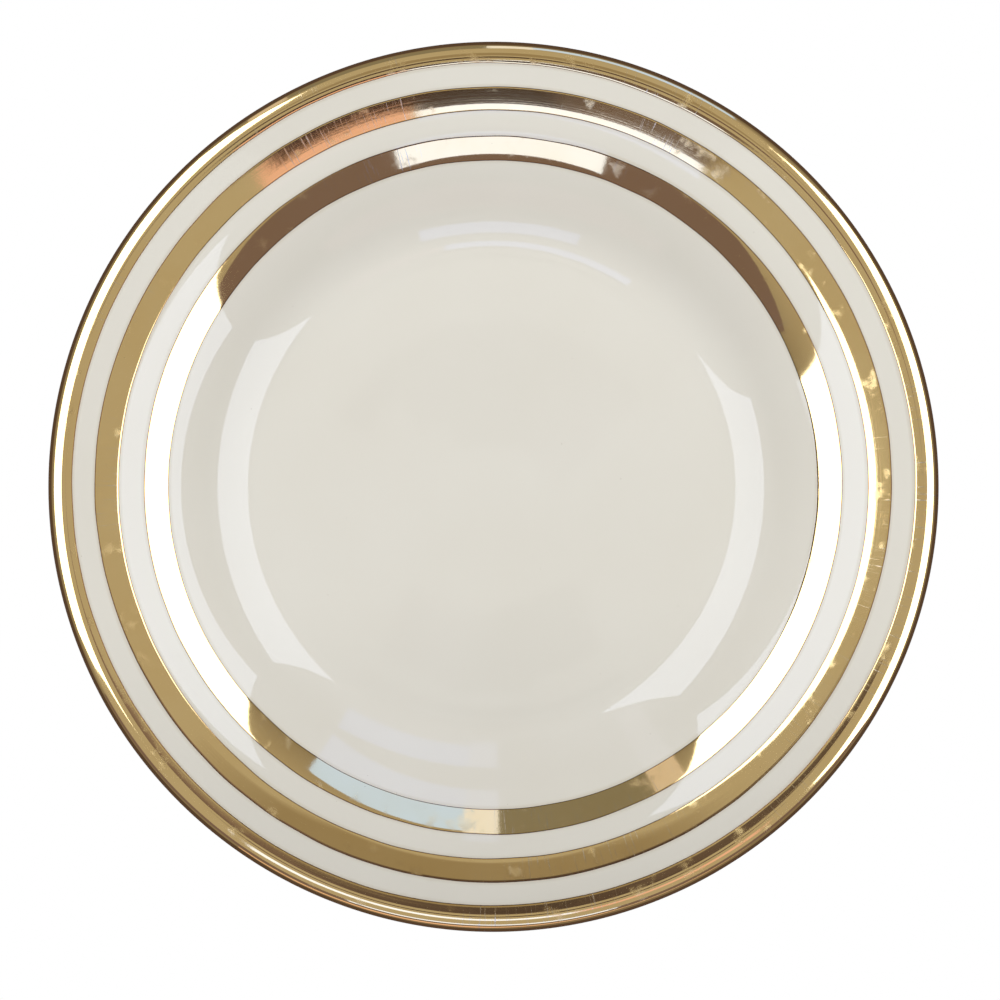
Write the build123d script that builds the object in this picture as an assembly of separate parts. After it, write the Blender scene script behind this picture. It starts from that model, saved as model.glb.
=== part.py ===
from build123d import *
import os
from math import cos, radians, sin, tan

# A round porcelain dinner plate with a flat floor, a curved well wall, a broad gently rising rim
# and a rounded lip, standing on an unglazed foot ring.  Three gold bands lie on the glaze: one at
# the top of the well wall, one halfway across the rim, and one that wraps over the lip.
#
# The plate is a body of revolution about Z.  It stands on Z = 0, with its axis through the origin.
# Each profile is drawn once in the XZ plane, as radius and height in millimetres, and revolved.

# ---- driving dimensions, in millimetres and degrees ----
plate_diameter = 267.0       # over the gilded lip
glaze_thickness = 0.20
gold_thickness = 0.22        # a gilded film, drawn thick enough to hold as a solid

floor_top = 6.70             # height of the biscuit floor of the well
base_recess = 2.50           # height of the underside inside the foot ring

wall_slope = 32.0            # slope of the well wall at its steepest
rim_slope = 8.0              # slope of the broad rim
crown_fall = 3.0             # outward fall of the lip just past its crown
lip_fall = 20.0              # outward fall of the lip further out
shoulder_fall = 50.0         # outward fall of the lip just above its edge
rim_back_slope = 8.6         # slope of the rim's underside, so that the rim thins outwards

well_corner_radius = 78.9    # where the floor and the wall lines would meet
wall_corner_radius = 100.5   # where the wall and the rim lines would meet
crown_corner_radius = 126.6  # where the rim line and the first falling line would meet
lip_corner_radius = 130.3    # where the first two falling lines would meet

verge_fillet = 32.0          # floor to wall
turn_fillet = 67.4           # wall to rim
crown_fillet = 27.0
lip_fillet = 6.0
shoulder_fillet = 2.2
edge_fillet = 1.35           # the round nose of the lip, which carries the plate's diameter

wall_thickness = 4.2         # square to the wall
lip_thickness = 4.8          # upright, under the crown of the lip, before it is rounded
back_turn_fillet = 55.0      # underside, rim to wall
foot_outer_fillet = 3.0      # underside, wall to foot
foot_inner_fillet = 3.5      # foot to the base recess
foot_edge_fillet = 0.7       # both edges of the standing face

foot_mean_radius = 77.7
foot_land = 3.6              # width of the foot at its standing face, before its edges are rounded
foot_outer_taper = 22.0      # lean of the foot's outer side from upright
foot_inner_taper = 28.0      # lean of the foot's inner side from upright
bare_foot_height = 0.80      # the glaze is wiped off the foot below this height

# Inner and outer radius of each gold band, seen from above.
inner_band = (97.5, 104.8)
middle_band = (112.1, 119.2)
rim_band_inner_radius = 125.9
rim_band_back_radius = 131.6  # how far the rim band reaches in under the lip

out_of_reach = 40.0          # size of cutting shapes past the plate


def rise(run, slope):
    """Height gained over a level run at a slope in degrees."""
    return run * tan(radians(slope))


def body_radius():
    """Radius of the biscuit body, under the glaze and the gold."""
    return plate_diameter / 2 - glaze_thickness - gold_thickness


def meeting_point(first, first_slope, second, second_slope):
    """Where two lines meet, each through a point at a slope in degrees, rising outwards."""
    first_rise, second_rise = tan(radians(first_slope)), tan(radians(second_slope))
    height_gap = second[1] - first[1] + second_rise * (first[0] - second[0])
    run = height_gap / (first_rise - second_rise)
    return first[0] + run, first[1] + first_rise * run


def crown_corner():
    """Highest corner of the upper face, where the rim turns down into the lip."""
    wall_top = floor_top + rise(wall_corner_radius - well_corner_radius, wall_slope)
    return (
        crown_corner_radius,
        wall_top + rise(crown_corner_radius - wall_corner_radius, rim_slope),
    )


def rim_back():
    """A point on the rim's underside, below the crown."""
    return crown_corner_radius, crown_corner()[1] - lip_thickness


def shoulder_tangent():
    """Where the round nose of the lip leaves the line that falls to it."""
    centre_radius = body_radius() - edge_fillet
    back_below = rim_back()[1] + rise(centre_radius - crown_corner_radius, rim_back_slope)
    centre_height = back_below + edge_fillet / cos(radians(rim_back_slope))
    return (
        centre_radius + edge_fillet * sin(radians(shoulder_fall)),
        centre_height + edge_fillet * cos(radians(shoulder_fall)),
    )


def face_corners():
    """Corners of the upper face, from the centre out, before they are rounded."""
    wall_top = floor_top + rise(wall_corner_radius - well_corner_radius, wall_slope)
    crown = crown_corner()
    lip_corner = lip_corner_radius, crown[1] - rise(lip_corner_radius - crown[0], crown_fall)
    return [
        (0, floor_top),
        (well_corner_radius, floor_top),
        (wall_corner_radius, wall_top),
        crown,
        lip_corner,
        meeting_point(lip_corner, -lip_fall, shoulder_tangent(), -shoulder_fall),
    ]


def back_corners():
    """Corners of the lip's edge and the underside, going in to the centre, before rounding."""
    # The back of the wall runs parallel to the wall, one wall thickness below it.
    wall_back = well_corner_radius, floor_top - wall_thickness / cos(radians(wall_slope))
    # The foot's sides both lean in towards its standing face.
    foot_outer = foot_mean_radius + foot_land / 2, 0
    foot_inner = foot_mean_radius - foot_land / 2, 0
    return [
        meeting_point(shoulder_tangent(), -shoulder_fall, rim_back(), rim_back_slope),
        meeting_point(rim_back(), rim_back_slope, wall_back, wall_slope),
        meeting_point(foot_outer, 90 - foot_outer_taper, wall_back, wall_slope),
        foot_outer,
        foot_inner,
        (foot_inner[0] - base_recess * tan(radians(foot_inner_taper)), base_recess),
        (0, base_recess),
    ]


def body_profile():
    """Half section of the biscuit body, as a face in the XZ plane."""
    corners = face_corners() + back_corners()
    fillets = [
        verge_fillet,
        turn_fillet,
        crown_fillet,
        lip_fillet,
        shoulder_fillet,
        edge_fillet,
        back_turn_fillet,
        foot_outer_fillet,
        foot_edge_fillet,
        foot_edge_fillet,
        foot_inner_fillet,
    ]
    with BuildSketch(Plane.XZ) as section:
        with BuildLine():
            FilletPolyline(*corners, radius=fillets)
            Line(corners[-1], corners[0])
        make_face()
    return section.sketch


def window(inner_radius, outer_radius, low, high):
    """A rectangle of the half section, between two radii and two heights."""
    with BuildSketch(Plane.XZ) as frame:
        with Locations(((inner_radius + outer_radius) / 2, (low + high) / 2)):
            Rectangle(outer_radius - inner_radius, high - low)
    return frame.sketch


def turned(profile):
    """The solid that a half section sweeps about the plate's axis."""
    return revolve(profile, axis=Axis.Z, revolution_arc=360)


def coats(body):
    """The half section grown by the glaze, and by the glaze and the gold together.

    Each is extended past the axis before it is grown, so that it has no skin along the axis.
    """
    mirrored = body + mirror(body, about=Plane.YZ)
    glazed = offset(mirrored, amount=glaze_thickness, kind=Kind.ARC)
    gilded = offset(mirrored, amount=glaze_thickness + gold_thickness, kind=Kind.ARC)
    right_half = window(0, plate_diameter, -out_of_reach, out_of_reach)
    return glazed & right_half, gilded & right_half


def on_face(skin, inner_radius, outer_radius):
    """The part of a skin that lies on the upper face between two radii."""
    between = skin & window(inner_radius, outer_radius, -out_of_reach, out_of_reach)
    return between.faces().sort_by(Axis.Z)[-1]


def main():
    body = body_profile()
    glazed, gilded = coats(body)
    edge_height = back_corners()[0][1]

    # The glaze covers everything but the foot's standing face, so it is two separate coats.
    above_foot = window(0, plate_diameter, bare_foot_height, out_of_reach)
    within_foot = window(0, foot_mean_radius, -out_of_reach, base_recess + wall_thickness / 2)
    glaze = (glazed - body) & above_foot
    base_glaze = glaze & within_foot
    face_glaze = glaze - within_foot

    # Gold lies on the glaze of the upper face, and the outermost band wraps round the edge.
    gold = gilded - glazed
    over_lip = window(rim_band_inner_radius, plate_diameter, edge_height, out_of_reach)
    under_lip = window(rim_band_back_radius, plate_diameter, -out_of_reach, edge_height)
    nodes = {
        "porcelain_body": body,
        "face_glaze": face_glaze,
        "base_glaze": base_glaze,
        "inner_gold_band": on_face(gold, *inner_band),
        "middle_gold_band": on_face(gold, *middle_band),
        "rim_gold_band": gold & (over_lip + under_lip),
    }
    os.makedirs("parts", exist_ok=True)
    for name, profile in nodes.items():
        solid = turned(profile)
        solid.label = name
        export_step(solid, f"parts/{name}.step")


main()
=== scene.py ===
from math import atan2, ceil, cos, hypot, pi, radians, sin, sqrt, tan
import bpy
import bmesh
from mathutils import Matrix, Vector, noise


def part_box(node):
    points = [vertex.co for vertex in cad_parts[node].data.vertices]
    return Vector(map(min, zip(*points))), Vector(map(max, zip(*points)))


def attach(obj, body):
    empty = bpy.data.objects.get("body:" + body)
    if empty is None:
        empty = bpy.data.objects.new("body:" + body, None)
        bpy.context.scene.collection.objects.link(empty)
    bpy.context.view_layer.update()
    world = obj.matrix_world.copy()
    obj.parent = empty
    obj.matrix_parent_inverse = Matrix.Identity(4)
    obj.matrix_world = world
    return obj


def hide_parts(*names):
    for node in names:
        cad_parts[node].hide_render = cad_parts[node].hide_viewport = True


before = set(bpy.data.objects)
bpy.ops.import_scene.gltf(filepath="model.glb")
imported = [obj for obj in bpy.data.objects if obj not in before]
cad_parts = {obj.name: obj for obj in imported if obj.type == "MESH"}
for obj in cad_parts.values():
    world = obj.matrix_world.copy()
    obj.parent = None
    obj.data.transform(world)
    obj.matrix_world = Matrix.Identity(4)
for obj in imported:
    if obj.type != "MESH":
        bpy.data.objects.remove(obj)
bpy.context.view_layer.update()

mm = 0.001
turnSteps = 480  # facets round the plate
doublings = 4  # a short spin, copied round this many times over, takes far less time than one long spin

plate = {  # the plate's section in millimetres and degrees, from the axis out
    "glaze": 0.20,
    "floorTop": 6.70,
    "baseRecess": 2.50,
    "wallSlope": 32.0,
    "rimSlope": 8.0,
    "crownFall": 3.0,
    "lipFall": 20.0,
    "shoulderFall": 50.0,
    "backSlope": 8.6,
    "wellCorner": 78.9,
    "wallCorner": 100.5,
    "crownCorner": 128.9,
    "lipCorner": 131.3,
    "faceFillets": (32.0, 67.4, 12.0, 3.0, 0.6),
    "noseFillet": 2.0,
    "backFillets": (55.0, 3.0, 0.7, 0.7, 3.5),
    "wall": 4.2,
    "lip": 4.8,
    "footRadius": 77.7,
    "footLand": 3.6,
    "footOuterLean": 22.0,
    "footInnerLean": 28.0,
    "footBare": 0.80,
    "kilnWarp": 0.10,  # how far the rim rises and dips round the plate
    "warpStart": 80.0,
    "warpWaves": ((2, 0.6, 0.7), (3, 0.4, 2.1)),  # waves round the plate, share of the warp, and start
}
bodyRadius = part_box("porcelain_body")[1].x / mm


def slopeRise(run, slope):
    return run * tan(radians(slope))


def meetingPoint(first, firstSlope, second, secondSlope):  # of two lines, each a point and a slope
    firstRise, secondRise = tan(radians(firstSlope)), tan(radians(secondSlope))
    run = (second[1] - first[1] + secondRise * (first[0] - second[0])) / (firstRise - secondRise)
    return first[0] + run, first[1] + firstRise * run


def sectionCorners():  # corners of the half section before rounding: out along the face, then back underneath
    p = plate
    wallTop = p["floorTop"] + slopeRise(p["wallCorner"] - p["wellCorner"], p["wallSlope"])
    crown = wallTop + slopeRise(p["crownCorner"] - p["wallCorner"], p["rimSlope"])
    lipCorner = p["lipCorner"], crown - slopeRise(p["lipCorner"] - p["crownCorner"], p["crownFall"])
    rimBack = p["crownCorner"], crown - p["lip"]
    wallBack = p["wellCorner"], p["floorTop"] - p["wall"] / cos(radians(p["wallSlope"]))
    noseRadius = bodyRadius - p["noseFillet"]
    noseHeight = rimBack[1] + slopeRise(noseRadius - p["crownCorner"], p["backSlope"])
    noseHeight += p["noseFillet"] / cos(radians(p["backSlope"]))
    shoulder = (  # where the round nose leaves the line that falls to it
        noseRadius + p["noseFillet"] * sin(radians(p["shoulderFall"])),
        noseHeight + p["noseFillet"] * cos(radians(p["shoulderFall"])),
    )
    footOuter = p["footRadius"] + p["footLand"] / 2, 0
    footInner = p["footRadius"] - p["footLand"] / 2, 0
    return [
        (0, p["floorTop"]),
        (p["wellCorner"], p["floorTop"]),
        (p["wallCorner"], wallTop),
        (p["crownCorner"], crown),
        lipCorner,
        meetingPoint(lipCorner, -p["lipFall"], shoulder, -p["shoulderFall"]),
        meetingPoint(shoulder, -p["shoulderFall"], rimBack, p["backSlope"]),
        meetingPoint(rimBack, p["backSlope"], wallBack, p["wallSlope"]),
        meetingPoint(footOuter, 90 - p["footOuterLean"], wallBack, p["wallSlope"]),
        footOuter,
        footInner,
        (footInner[0] - slopeRise(p["baseRecess"], p["footInnerLean"]), p["baseRecess"]),
        (0, p["baseRecess"]),
    ]


def traceSection():  # the same outline as straight runs and round turns, each with its length
    corners = [Vector(c) for c in sectionCorners()]
    fillets = (*plate["faceFillets"], plate["noseFillet"], *plate["backFillets"])
    pieces, here, travelled = [], corners[0], 0.0
    for i, fillet in enumerate(fillets):
        ahead = (corners[i + 1] - corners[i]).normalized()
        after = (corners[i + 2] - corners[i + 1]).normalized()
        turn = atan2(ahead.cross(after), ahead.dot(after))  # left turns are positive
        cut = fillet * tan(abs(turn) / 2)
        run = (corners[i + 1] - here).length - cut
        pieces.append({"at": travelled, "long": run, "from": here, "ahead": ahead, "bend": 0.0})
        travelled += run
        here = here + ahead * run
        arc = fillet * abs(turn)
        pieces.append({"at": travelled, "long": arc, "from": here, "ahead": ahead, "bend": turn / arc})
        travelled += arc
        here = corners[i + 1] + after * cut
    last = corners[-1] - here
    pieces.append({"at": travelled, "long": last.length, "from": here, "ahead": last.normalized(), "bend": 0.0})
    return pieces


section = traceSection()
sectionLength = section[-1]["at"] + section[-1]["long"]
nose, footLand, footCurve = section[11], section[18], section[21]
edgeAlong = nose["at"] + nose["long"] / 2  # halfway round the nose of the lip


def sectionPoint(along, skin):  # radius and height at a distance along the outline, lifted off it by a skin
    piece = next((p for p in section if along <= p["at"] + p["long"]), section[-1])
    step = along - piece["at"]
    ahead, bend = piece["ahead"], piece["bend"]
    side = Vector((-ahead.y, ahead.x))
    if bend == 0:
        return piece["from"] + ahead * step + side * skin
    turned = bend * step
    point = piece["from"] + (ahead * sin(turned) + side * (1 - cos(turned))) / bend
    return point + (side * cos(turned) - ahead * sin(turned)) * skin


def findAlong(low, high, beyond):  # distance along the outline where a test starts to hold
    while high - low > 0.0005:
        middle = (low + high) / 2
        if beyond(sectionPoint(middle, plate["glaze"])):
            high = middle
        else:
            low = middle
    return low


def stations(start, stop, longest, sharpest):  # distances along the outline, closer together round its turns
    places = [start]
    for piece in section:
        low, high = max(start, piece["at"]), min(stop, piece["at"] + piece["long"])
        if high - low < 1e-6:
            continue
        turned = abs(piece["bend"]) * (high - low)
        count = max(ceil(turned / radians(sharpest)), ceil((high - low) / longest))
        places += [low + (high - low) * (k + 1) / count for k in range(count)]
    return places


def warpHeight(radius, angle):  # the rim's slight rise and dip, left by the kiln
    reach = max(0.0, radius - plate["warpStart"]) / (bodyRadius - plate["warpStart"])
    waves = sum(share * sin(count * angle + start) for count, share, start in plate["warpWaves"])
    return plate["kilnWarp"] * reach**2 * waves


def spinRing(name, line, closed, shift=None):  # turns a line of (distance, skin) pairs round the axis
    bm = bmesh.new()
    alongLayer = bm.verts.layers.float.new("along")
    skinLayer = bm.verts.layers.float.new("skin")
    spine = []
    for along, skin in line:
        point = sectionPoint(along, skin)
        vert = bm.verts.new((max(point.x, 0) * mm, 0, point.y * mm))
        vert[alongLayer], vert[skinLayer] = along, skin
        spine.append(vert)
    followers = spine[1:] + spine[:1] if closed else spine[1:]
    edges = [bm.edges.new(pair) for pair in zip(spine, followers)]
    sweep = 2 * pi / 2**doublings
    bmesh.ops.spin(
        bm, geom=spine + edges, cent=(0, 0, 0), axis=(0, 0, 1), dvec=(0, 0, 0), angle=sweep,
        steps=turnSteps // 2**doublings, use_merge=False, use_normal_flip=False, use_duplicate=False,
    )
    for k in range(doublings):
        copied = bmesh.ops.duplicate(bm, geom=bm.verts[:] + bm.edges[:] + bm.faces[:])["geom"]
        copiedVerts = [part for part in copied if isinstance(part, bmesh.types.BMVert)]
        turn = Matrix.Rotation(sweep * 2**k, 3, "Z")
        bmesh.ops.rotate(bm, verts=copiedVerts, cent=(0, 0, 0), matrix=turn)
    bmesh.ops.remove_doubles(bm, verts=bm.verts, dist=0.0005 * mm)
    for vert in bm.verts:
        angle = atan2(vert.co.y, vert.co.x)
        if shift:
            moved = sectionPoint(vert[alongLayer] + shift(vert[alongLayer], angle), vert[skinLayer])
            vert.co = (moved.x * cos(angle) * mm, moved.x * sin(angle) * mm, moved.y * mm)
        vert.co.z += warpHeight(hypot(vert.co.x, vert.co.y) / mm, angle) * mm
    bmesh.ops.recalc_face_normals(bm, faces=bm.faces)
    for face in bm.faces:
        face.smooth = True
    mesh = bpy.data.meshes.new(name)
    bm.to_mesh(mesh)
    bm.free()
    piece = bpy.data.objects.new(name, mesh)
    bpy.context.scene.collection.objects.link(piece)
    return piece


def wander(seed, angle, slow, quick):  # how far a brushed edge strays, in mm
    around = Vector((cos(angle), sin(angle), 0))
    slowStray = noise.noise(around * film["slowWaves"] + Vector((0, 0, seed)))
    quickStray = noise.noise(around * film["quickWaves"] + Vector((0, 0, seed + 7.0)))
    return slow * slowStray + quick * quickStray


def finish(piece, node, material):
    piece.data.materials.append(material)
    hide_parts(node)
    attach(piece, "root")
    print("made", piece.name, len(piece.data.polygons), "faces")


def linearColour(text):  # sRGB hex to the linear values that Blender works in
    parts = [int(text[k:k + 2], 16) / 255 for k in (1, 3, 5)]
    return tuple(c / 12.92 if c <= 0.04045 else ((c + 0.055) / 1.055) ** 2.4 for c in parts) + (1.0,)


def addNode(tree, kind, settings=None, inputs=None):  # one node, its settings, and its values or links
    node = tree.nodes.new("ShaderNode" + kind)
    for key, value in (settings or {}).items():
        setattr(node, key, value)
    for key, value in (inputs or {}).items():
        if isinstance(value, bpy.types.NodeSocket):
            tree.links.new(value, node.inputs[key])
        else:
            node.inputs[key].default_value = value
    return node


def newMaterial(name):
    material = bpy.data.materials.new(name)
    material.use_nodes = True
    tree = material.node_tree
    tree.nodes.clear()
    shader = addNode(tree, "BsdfPrincipled")
    addNode(tree, "OutputMaterial", None, {"Surface": shader.outputs[0]})
    return material, tree, shader


def mixedColour(tree, factor, first, second):  # first where the factor is 0, second where it is 1
    mix = addNode(tree, "Mix", {"data_type": "RGBA"}, {"Factor": factor})
    for key, colour in (("A", first), ("B", second)):
        socket = next(s for s in mix.inputs if s.name == key and s.type == "RGBA")
        if isinstance(colour, str):
            socket.default_value = linearColour(colour)
        else:
            tree.links.new(colour, socket)
    return next(s for s in mix.outputs if s.type == "RGBA")


streakRadius = 115.0  # where the sizes along a streak are true: the middle of the rim


def streakNoise(tree, place, acrossSize, alongSize, detail):  # noise drawn out round the plate or out from it
    parts = addNode(tree, "SeparateXYZ", None, {0: place}).outputs
    flat = addNode(tree, "CombineXYZ", None, {"X": parts["X"], "Y": parts["Y"]}).outputs[0]
    radius = addNode(tree, "VectorMath", {"operation": "LENGTH"}, {0: flat}).outputs["Value"]
    facing = addNode(tree, "VectorMath", {"operation": "NORMALIZE"}, {0: flat}).outputs[0]
    wrapped = addNode(tree, "VectorMath", {"operation": "SCALE"}, {
        0: facing, "Scale": streakRadius / alongSize})
    lifted = addNode(tree, "Math", {"operation": "DIVIDE"}, {0: radius, 1: acrossSize * mm})
    drawn = addNode(tree, "CombineXYZ", None, {"Z": lifted.outputs[0]})
    joined = addNode(tree, "VectorMath", {"operation": "ADD"}, {0: wrapped.outputs[0], 1: drawn.outputs[0]})
    grain = addNode(tree, "TexNoise", None, {"Vector": joined.outputs[0], "Scale": 1.0, "Detail": detail})
    return grain.outputs["Fac"]


bands = {  # inner and outer radius in mm; the rim band's outer one is under the lip
    "innerGoldBand": {"node": "inner_gold_band", "from": 97.5, "to": 104.8, "seed": 1.0},
    "middleGoldBand": {"node": "middle_gold_band", "from": 112.1, "to": 119.2, "seed": 4.0},
    "rimGoldBand": {"node": "rim_gold_band", "from": 125.9, "under": 131.6, "seed": 9.0},
}
film = {
    "thick": 0.06, "sunk": 0.02, "edgeRound": 0.16,
    "slowStray": 0.40, "slowWaves": 1.3, "quickStray": 0.16, "quickWaves": 9.0,
    "offCentre": (-0.10, 0.66),  # the wheel that the bands were painted on ran a little off centre
}

ivoryGlaze = {
    # Painted shade: the third colour, with the reach and depth on the last line, darkens the glaze beside each
    # gold band edge.
    "light": "#F0EDE2", "deep": "#EBE7DA", "paintedEdgeShade": "#C4B593", "speck": "#8C7B62",
    "roughness": 0.018, "ior": 1.52,
    "patchSize": 45.0, "rippleSize": 9.0, "rippleDepth": 0.0016, "speckSpacing": 7.0, "speckRadius": 0.16,
    "paintedShadeReach": 1.1, "paintedShadeDepth": 0.30,
}


def makeIvoryGlaze():  # clear feldspar glaze over ivory china: even warm white with a wet, sharp sheen
    g = ivoryGlaze
    material, tree, shader = newMaterial("ivoryGlaze")
    place = addNode(tree, "TexCoord").outputs["Object"]
    patches = addNode(tree, "TexNoise", None, {
        "Vector": place, "Scale": 1 / (g["patchSize"] * mm), "Detail": 2.0})
    tone = mixedColour(tree, patches.outputs["Fac"], g["light"], g["deep"])
    cells = addNode(tree, "TexVoronoi", None, {"Vector": place, "Scale": 1 / (g["speckSpacing"] * mm)})
    speck = addNode(tree, "MapRange", None, {
        "Value": cells.outputs["Distance"], "From Min": g["speckRadius"] / g["speckSpacing"],
        "From Max": 0.4 * g["speckRadius"] / g["speckSpacing"], "To Min": 0.0, "To Max": 0.6})
    tone = mixedColour(tree, speck.outputs["Result"], tone, g["speck"])
    # Painted shade: within about a millimetre of each gold band edge, the glaze colour is darkened towards a
    # tan. This stands in for the shade beside the bands.
    x, y = film["offCentre"]
    centred = addNode(tree, "VectorMath", {"operation": "SUBTRACT"}, {0: place, 1: (x * mm, y * mm, 0)})
    flat = addNode(tree, "VectorMath", {"operation": "MULTIPLY"}, {0: centred.outputs[0], 1: (1, 1, 0)})
    radius = addNode(tree, "VectorMath", {"operation": "LENGTH"}, {0: flat.outputs[0]}).outputs["Value"]
    nearest = None
    for edge in [band[side] for band in bands.values() for side in ("from", "to") if side in band]:
        gap = addNode(tree, "Math", {"operation": "SUBTRACT"}, {0: radius, 1: edge * mm}).outputs[0]
        gap = addNode(tree, "Math", {"operation": "ABSOLUTE"}, {0: gap}).outputs[0]
        if nearest:
            gap = addNode(tree, "Math", {"operation": "MINIMUM"}, {0: gap, 1: nearest}).outputs[0]
        nearest = gap
    # Strength of the painted shade: full at each band edge, fading to none at the reach.
    paintedEdgeShade = addNode(tree, "MapRange", {"interpolation_type": "SMOOTHSTEP"}, {
        "Value": nearest, "From Min": 0.0, "From Max": g["paintedShadeReach"] * mm,
        "To Min": g["paintedShadeDepth"], "To Max": 0.0})
    tone = mixedColour(tree, paintedEdgeShade.outputs["Result"], tone, g["paintedEdgeShade"])
    ripples = addNode(tree, "TexNoise", None, {
        "Vector": place, "Scale": 1 / (g["rippleSize"] * mm), "Detail": 1.0})
    bump = addNode(tree, "Bump", None, {
        "Height": ripples.outputs["Fac"], "Strength": 1.0, "Distance": g["rippleDepth"] * mm})
    tree.links.new(tone, shader.inputs["Base Color"])
    tree.links.new(bump.outputs["Normal"], shader.inputs["Normal"])
    shader.inputs["Roughness"].default_value = g["roughness"]
    shader.inputs["IOR"].default_value = g["ior"]
    return material


biscuit = {
    "light": "#E6DFD0", "deep": "#CFC4AE", "roughness": 0.62,
    "soilSize": 9.0, "grainSize": 0.35, "grainDepth": 0.02,
}


def makeBiscuit():  # bare fired china on the foot's standing face: matte, chalky, a little soiled
    b = biscuit
    material, tree, shader = newMaterial("bareBiscuit")
    place = addNode(tree, "TexCoord").outputs["Object"]
    grain = addNode(tree, "TexNoise", None, {
        "Vector": place, "Scale": 1 / (b["grainSize"] * mm), "Detail": 4.0})
    soil = addNode(tree, "TexNoise", None, {
        "Vector": place, "Scale": 1 / (b["soilSize"] * mm), "Detail": 5.0})
    tone = mixedColour(tree, soil.outputs["Fac"], b["light"], b["deep"])
    bump = addNode(tree, "Bump", None, {
        "Height": grain.outputs["Fac"], "Strength": 1.0, "Distance": b["grainDepth"] * mm})
    tree.links.new(tone, shader.inputs["Base Color"])
    tree.links.new(bump.outputs["Normal"], shader.inputs["Normal"])
    shader.inputs["Roughness"].default_value = b["roughness"]
    return material


brightGold = {
    "tone": "#FFE2A2", "deep": "#F6D48E", "edge": "#6E4526", "pin": "#4A3522", "wear": "#E3D3B4",
    "patchSize": 14.0, "edgeThin": (0.10, 0.36),
    "roughness": 0.035, "hazeRoughness": 0.16, "hazeSize": 7.0,
    "grainSize": 0.9, "grainDepth": 0.0007, "brushWidth": 0.5, "brushLength": 60.0, "brushDepth": 0.0010,
    "pinSpacing": 5.0, "pinRadius": 0.13,
    "wipeLength": 9.0, "wipeWidth": 0.45, "wipePatch": 40.0,
}


def makeBrightGold():  # liquid bright gold fired on the glaze: a thin mirror, brown where it thins at its edges
    g = brightGold
    material, tree, shader = newMaterial("brightGold")
    place = addNode(tree, "TexCoord").outputs["Object"]
    patches = addNode(tree, "TexNoise", None, {
        "Vector": place, "Scale": 1 / (g["patchSize"] * mm), "Detail": 3.0})
    tone = mixedColour(tree, patches.outputs["Fac"], g["tone"], g["deep"])
    # Wiping has worn faint streaks outwards across the gold, in a few places only.
    wiped = streakNoise(tree, place, g["wipeLength"], g["wipeWidth"], 2.0)
    streak = addNode(tree, "MapRange", None, {"Value": wiped, "From Min": 0.60, "From Max": 0.75})
    where = addNode(tree, "TexNoise", None, {
        "Vector": place, "Scale": 1 / (g["wipePatch"] * mm), "Detail": 1.0})
    patch = addNode(tree, "MapRange", None, {"Value": where.outputs["Fac"], "From Min": 0.52, "From Max": 0.66})
    worn = addNode(tree, "Math", {"operation": "MULTIPLY"}, {
        0: streak.outputs["Result"], 1: patch.outputs["Result"]}).outputs[0]
    tone = mixedColour(tree, worn, tone, g["wear"])
    # Pin-holes let the brown of the fired oil show.
    cells = addNode(tree, "TexVoronoi", None, {"Vector": place, "Scale": 1 / (g["pinSpacing"] * mm)})
    pin = addNode(tree, "MapRange", None, {
        "Value": cells.outputs["Distance"], "From Min": g["pinRadius"] / g["pinSpacing"],
        "From Max": 0.3 * g["pinRadius"] / g["pinSpacing"]})
    tone = mixedColour(tree, pin.outputs["Result"], tone, g["pin"])
    edge = addNode(tree, "Attribute", {"attribute_name": "edge"}).outputs["Fac"]
    thin = addNode(tree, "MapRange", {"interpolation_type": "SMOOTHSTEP"}, {
        "Value": edge, "From Min": g["edgeThin"][0], "From Max": g["edgeThin"][1],
        "To Min": 1.0, "To Max": 0.0})
    tone = mixedColour(tree, thin.outputs["Result"], tone, g["edge"])
    haze = addNode(tree, "TexNoise", None, {
        "Vector": place, "Scale": 1 / (g["hazeSize"] * mm), "Detail": 4.0})
    cloudy = addNode(tree, "MapRange", {"interpolation_type": "SMOOTHSTEP"}, {
        "Value": haze.outputs["Fac"], "From Min": 0.56, "From Max": 0.74})
    dulled = addNode(tree, "Math", {"operation": "MAXIMUM"}, {0: cloudy.outputs["Result"], 1: worn})
    rough = addNode(tree, "MapRange", None, {
        "Value": dulled.outputs[0], "To Min": g["roughness"], "To Max": g["hazeRoughness"]})
    grain = addNode(tree, "TexNoise", None, {
        "Vector": place, "Scale": 1 / (g["grainSize"] * mm), "Detail": 2.0})
    dimples = addNode(tree, "Bump", None, {
        "Height": grain.outputs["Fac"], "Strength": 1.0, "Distance": g["grainDepth"] * mm})
    brushed = addNode(tree, "Bump", None, {
        "Height": streakNoise(tree, place, g["brushWidth"], g["brushLength"], 1.0), "Strength": 1.0,
        "Distance": g["brushDepth"] * mm, "Normal": dimples.outputs["Normal"]})
    tree.links.new(tone, shader.inputs["Base Color"])
    tree.links.new(rough.outputs["Result"], shader.inputs["Roughness"])
    tree.links.new(brushed.outputs["Normal"], shader.inputs["Normal"])
    shader.inputs["Metallic"].default_value = 1.0
    return material


glazeMaterial = makeIvoryGlaze()
biscuitMaterial = makeBiscuit()
goldMaterial = makeBrightGold()
print("materials ready")

under = 0.005  # gap between the glaze and the china, so that their faces don't meet
fine, hidden = (3.2, 3.6), (9.0, 8.0)  # longest step in mm and sharpest turn in degrees

footOuterStop = findAlong(edgeAlong, footLand["at"], lambda p: p.y < plate["footBare"])
footLandEnd = footLand["at"] + footLand["long"]
footInnerStart = findAlong(footLandEnd, footCurve["at"], lambda p: p.y > plate["footBare"])


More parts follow.
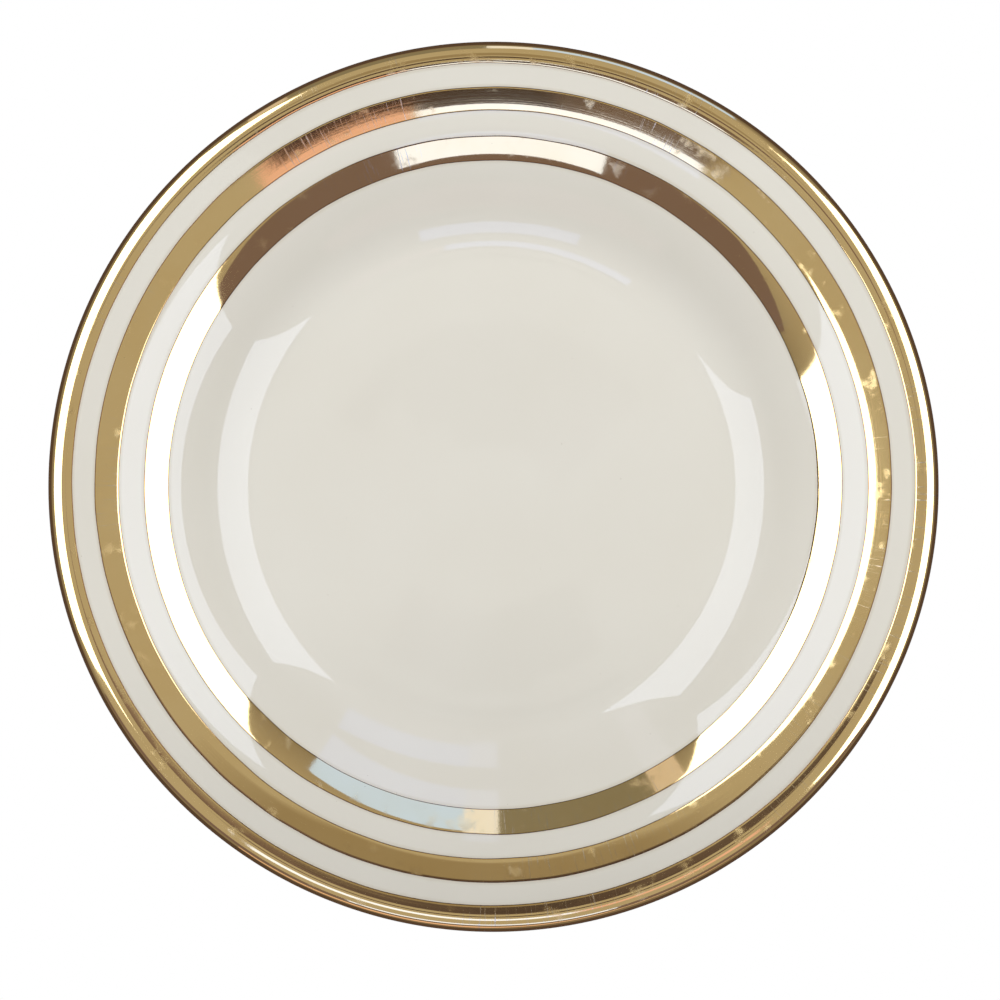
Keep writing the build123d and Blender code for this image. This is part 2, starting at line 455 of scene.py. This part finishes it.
def glazeLine(start, stop, thinStart, thinStop):  # round a coat's section: out along its top, back beneath it
    fade = 0.8  # over this length the coat thins to nothing where it was wiped off the foot
    top = []
    for along in stations(start, stop, *fine):
        skin = plate["glaze"]
        for end, thins in ((along - start, thinStart), (stop - along, thinStop)):
            if thins and end < fade:
                skin *= sqrt(max(0.0, 1 - (1 - end / fade) ** 2))
        top.append((along, max(skin, under)))
    return top + [(along, under) for along in reversed(stations(start, stop, *hidden))]


bodyLine = [(along, 0.0) for along in stations(0, sectionLength, *hidden)]
porcelainBody = spinRing("porcelainBody", bodyLine, False)
finish(porcelainBody, "porcelain_body", biscuitMaterial)

faceGlaze = spinRing("faceGlaze", glazeLine(0, footOuterStop, False, True), False)
finish(faceGlaze, "face_glaze", glazeMaterial)

baseGlaze = spinRing("baseGlaze", glazeLine(footInnerStart, sectionLength, True, False), False)
finish(baseGlaze, "base_glaze", glazeMaterial)


def goldLine(start, stop):  # round a band's section, with its two edges rounded off
    top = []
    places = [start + film["edgeRound"] * k / 4 for k in range(4)]
    places += stations(start + film["edgeRound"], stop - film["edgeRound"], 0.7, 3.6)
    places += [stop - film["edgeRound"] * k / 4 for k in (3, 2, 1, 0)]
    for along in places:
        inFromEdge = min(along - start, stop - along)
        full = sqrt(max(0.0, 1 - (1 - min(1.0, inFromEdge / film["edgeRound"])) ** 2))
        top.append((along, plate["glaze"] - film["sunk"] + (film["thick"] + film["sunk"]) * full))
    beneath = reversed(stations(start, stop, 2.0, 6.0)[1:-1])
    return top + [(along, plate["glaze"] - film["sunk"]) for along in beneath]


for name, band in bands.items():
    start = findAlong(0, edgeAlong, lambda p: p.x > band["from"])
    if "to" in band:
        stop = findAlong(0, edgeAlong, lambda p: p.x > band["to"])
    else:
        stop = findAlong(edgeAlong, sectionLength, lambda p: p.x < band["under"])

    def stray(along, angle):
        across = (along - start) / (stop - start)
        off = film["offCentre"][0] * cos(angle) + film["offCentre"][1] * sin(angle)
        innerStray = off + wander(band["seed"], angle, film["slowStray"], film["quickStray"])
        outerStray = wander(band["seed"] + 20, angle, film["slowStray"], film["quickStray"])
        if "to" in band:
            outerStray += off
        return innerStray * (1 - across) + outerStray * across

    piece = spinRing(name, goldLine(start, stop), True, stray)
    along = piece.data.attributes["along"].data
    edge = piece.data.attributes.new("edge", "FLOAT", "POINT").data
    for k, entry in enumerate(along):
        edge[k].value = min(entry.value - start, stop - entry.value)  # how far in from the band's edge, in mm
    finish(piece, band["node"], goldMaterial)


cardSteps = 12  # a card is a small grid, so that its glow can fade out towards its edges


def fadeAt(u, v, soft):  # 1 inside a card and 0 at its edge, where it fades over a share of its half width
    if soft == 0:
        return 1.0
    share = min(1.0, max(0.0, (1 - max(abs(u), abs(v))) / soft))
    return share * share * (3 - 2 * share)


def card(name, middle, across, up, colour, glow, soft=0.0, seenBy="sheen"):
    middle, across, up = Vector(middle), Vector(across), Vector(up)  # the last two are half the card's size
    bm = bmesh.new()
    strength = bm.verts.layers.float.new("strength")
    rows = []
    for i in range(cardSteps + 1):
        row = []
        for j in range(cardSteps + 1):
            u, v = 2 * j / cardSteps - 1, 2 * i / cardSteps - 1
            vert = bm.verts.new(middle + across * u + up * v)
            vert[strength] = fadeAt(u, v, soft)
            row.append(vert)
        rows.append(row)
    for low, high in zip(rows, rows[1:]):
        for j in range(cardSteps):
            bm.faces.new((low[j], low[j + 1], high[j + 1], high[j]))
    mesh = bpy.data.meshes.new(name)
    bm.to_mesh(mesh)
    bm.free()
    piece = bpy.data.objects.new(name, mesh)
    bpy.context.scene.collection.objects.link(piece)
    material = bpy.data.materials.new(name)
    material.use_nodes = True
    tree = material.node_tree
    tree.nodes.clear()
    light = addNode(tree, "Emission", None, {"Color": linearColour(colour), "Strength": glow}).outputs[0]
    if soft:
        fade = addNode(tree, "Attribute", {"attribute_name": "strength"}).outputs["Fac"]
        clear = addNode(tree, "BsdfTransparent").outputs[0]
        light = addNode(tree, "MixShader", None, {0: fade, 1: clear, 2: light}).outputs[0]
    addNode(tree, "OutputMaterial", None, {"Surface": light})
    material.cycles.emission_sampling = "NONE"  # it is found by reflections and isn't sampled as a lamp
    mesh.materials.append(material)
    piece.visible_camera = False
    piece.visible_diffuse = seenBy == "china"  # shades the soft light on the china
    piece.visible_glossy = seenBy == "sheen"  # shows in the glaze and the gold


card("leftSoftbox", (-0.36, 0.185, 1.27), (0, 0.345, 0), (0.11, 0, 0.63), "#E4ECFF", 3.9)
card("rightSoftbox", (0.4925, 0.06, 1.27), (0, 0.425, 0), (-0.1075, 0, 0.63), "#E4ECFF", 3.9)
card("windowCard", (0.403, 1.1, 1.50), (0.307, 0, 0), (0, 0, 0.60), "#95B3FF", 2.0)
card("paleWindowEdge", (0.038, 1.1, 1.75), (0.058, 0, 0), (0, 0, 0.85), "#C3D0FF", 1.64)
card("dimCard", (-0.30, 1.1, 1.60), (0.283, 0, 0), (0, 0, 1.0), "#FFFFFF", 0.24)
card("leftPaleEdge", (-0.66, 1.1, 1.60), (0.075, 0, 0), (0, 0, 1.0), "#F4EEFF", 0.75)
card("brownCard", (0, -0.50, 1.05), (0.95, 0, 0), (0, 0, 0.45), "#FFE6FF", 0.19)
card("lowWarmCard", (0, -0.45, 0.36), (0.32, 0, 0), (0, 0, 0.08), "#FFDADC", 0.9)
card("lowCreamCard", (-0.013, -0.45, 1.00), (0.145, 0, 0), (0, 0, 0.24), "#ABBEFF", 2.6)
card("highCreamCard", (-0.11, -0.45, 3.0), (0.20, 0, 0), (0, 0, 0.90), "#ABBEFF", 2.8)
card("highWarmCard", (0.22, -0.45, 3.0), (0.125, 0, 0), (0, 0, 0.90), "#FFD7E4", 0.85)
card("oliveCard", (0.03, 0.37, 2.50), (0.24, 0, 0), (0, 0.16, 0), "#FFF3E4", 0.31, 0.3)
card("flag", (0, -0.68, 0.6), (0.8, 0, 0), (0, 0.50, 0), "#000000", 0.0, seenBy="china")

facetHeight, facetHalfWidth = 1.35, 0.027  # in metres, like the cards above
facets = [  # dark cards round the middle: turn in degrees, reach, depth, colour and glow
    (66, 0.1265, 0.05, "#FFE6F4", 0.16),
    (88, 0.1275, 0.05, "#FFE6F4", 0.06),
    (111, 0.1200, 0.05, "#FFD8F6", 0.06),
    (228, 0.111, 0.080, "#FFE6F4", 0.22),
    (251, 0.111, 0.080, "#FFE6F4", 0.12),
    (274, 0.111, 0.080, "#FFE6F4", 0.08),
    (297, 0.111, 0.055, "#FFE6F4", 0.12),
    (320, 0.111, 0.020, "#FFE6F4", 0.10),
]
for number, (turn, reach, depth, colour, glow) in enumerate(facets):
    outward = Vector((-cos(radians(turn)), -sin(radians(turn)), 0))
    middle = outward * (reach - depth / 2) + Vector((0, 0, facetHeight))
    sideways = Vector((-outward.y, outward.x, 0)) * facetHalfWidth
    card("facet%d" % number, middle, sideways, outward * (depth / 2), colour, glow)

fillLight = bpy.data.lights.new("fillLight", "AREA")  # lightens the china, and doesn't show in its sheen
fillLight.shape, fillLight.size = "SQUARE", 1.6
fillLight.energy = 54.0
fillLight.color = linearColour("#F2F4F7")[:3]
fill = bpy.data.objects.new("fillLight", fillLight)
bpy.context.scene.collection.objects.link(fill)
fill.location = (0, 0.3, 1.9)
fill.visible_glossy = False
fill.visible_camera = False

world = bpy.data.worlds.new("studio")
bpy.context.scene.world = world
world.use_nodes = True
tree = world.node_tree
tree.nodes.clear()
sky = addNode(tree, "TexCoord").outputs["Generated"]
height = addNode(tree, "SeparateXYZ", None, {0: sky}).outputs["Z"]
ramp = addNode(tree, "ValToRGB", None, {0: height})
stops = [
    (0.0, "#564A4C"), (0.04, "#857C76"), (0.45, "#827C78"),
    (0.72, "#8C8886"), (0.86, "#A6A2A0"), (0.97, "#B5B2B0"),
]
while len(ramp.color_ramp.elements) < len(stops):
    ramp.color_ramp.elements.new(0.5)
for element, (at, colour) in zip(ramp.color_ramp.elements, stops):
    element.position, element.color = at, linearColour(colour)
air = addNode(tree, "Background", None, {"Color": ramp.outputs[0], "Strength": 1.0})
addNode(tree, "OutputWorld", None, {"Surface": air.outputs[0]})

bm = bmesh.new()
bmesh.ops.create_grid(bm, x_segments=1, y_segments=1, size=6.0)
mesh = bpy.data.meshes.new("floor")
bm.to_mesh(mesh)
bm.free()
floor = bpy.data.objects.new("floor", mesh)
bpy.context.scene.collection.objects.link(floor)
floorMaterial = bpy.data.materials.new("palePaper")
floorMaterial.use_nodes = True
tree = floorMaterial.node_tree
tree.nodes.clear()
glow = addNode(tree, "Emission", None, {"Color": linearColour("#FFFFFF"), "Strength": 1.0})
addNode(tree, "OutputMaterial", None, {"Surface": glow.outputs[0]})
floorMaterial.cycles.emission_sampling = "NONE"  # sampled as a lamp, it lights the slopes of the china unevenly
mesh.materials.append(floorMaterial)
floor.visible_glossy = False
print("studio ready")

camera = bpy.data.objects.new("camera", bpy.data.cameras.new("camera"))
bpy.context.scene.collection.objects.link(camera)
camera.location = (1.95 * mm, -3.95 * mm, 1.2)
camera.data.sensor_width = 36.0
camera.data.lens = 141.6
bpy.context.scene.camera = camera
bpy.context.scene.view_settings.view_transform = "Standard"
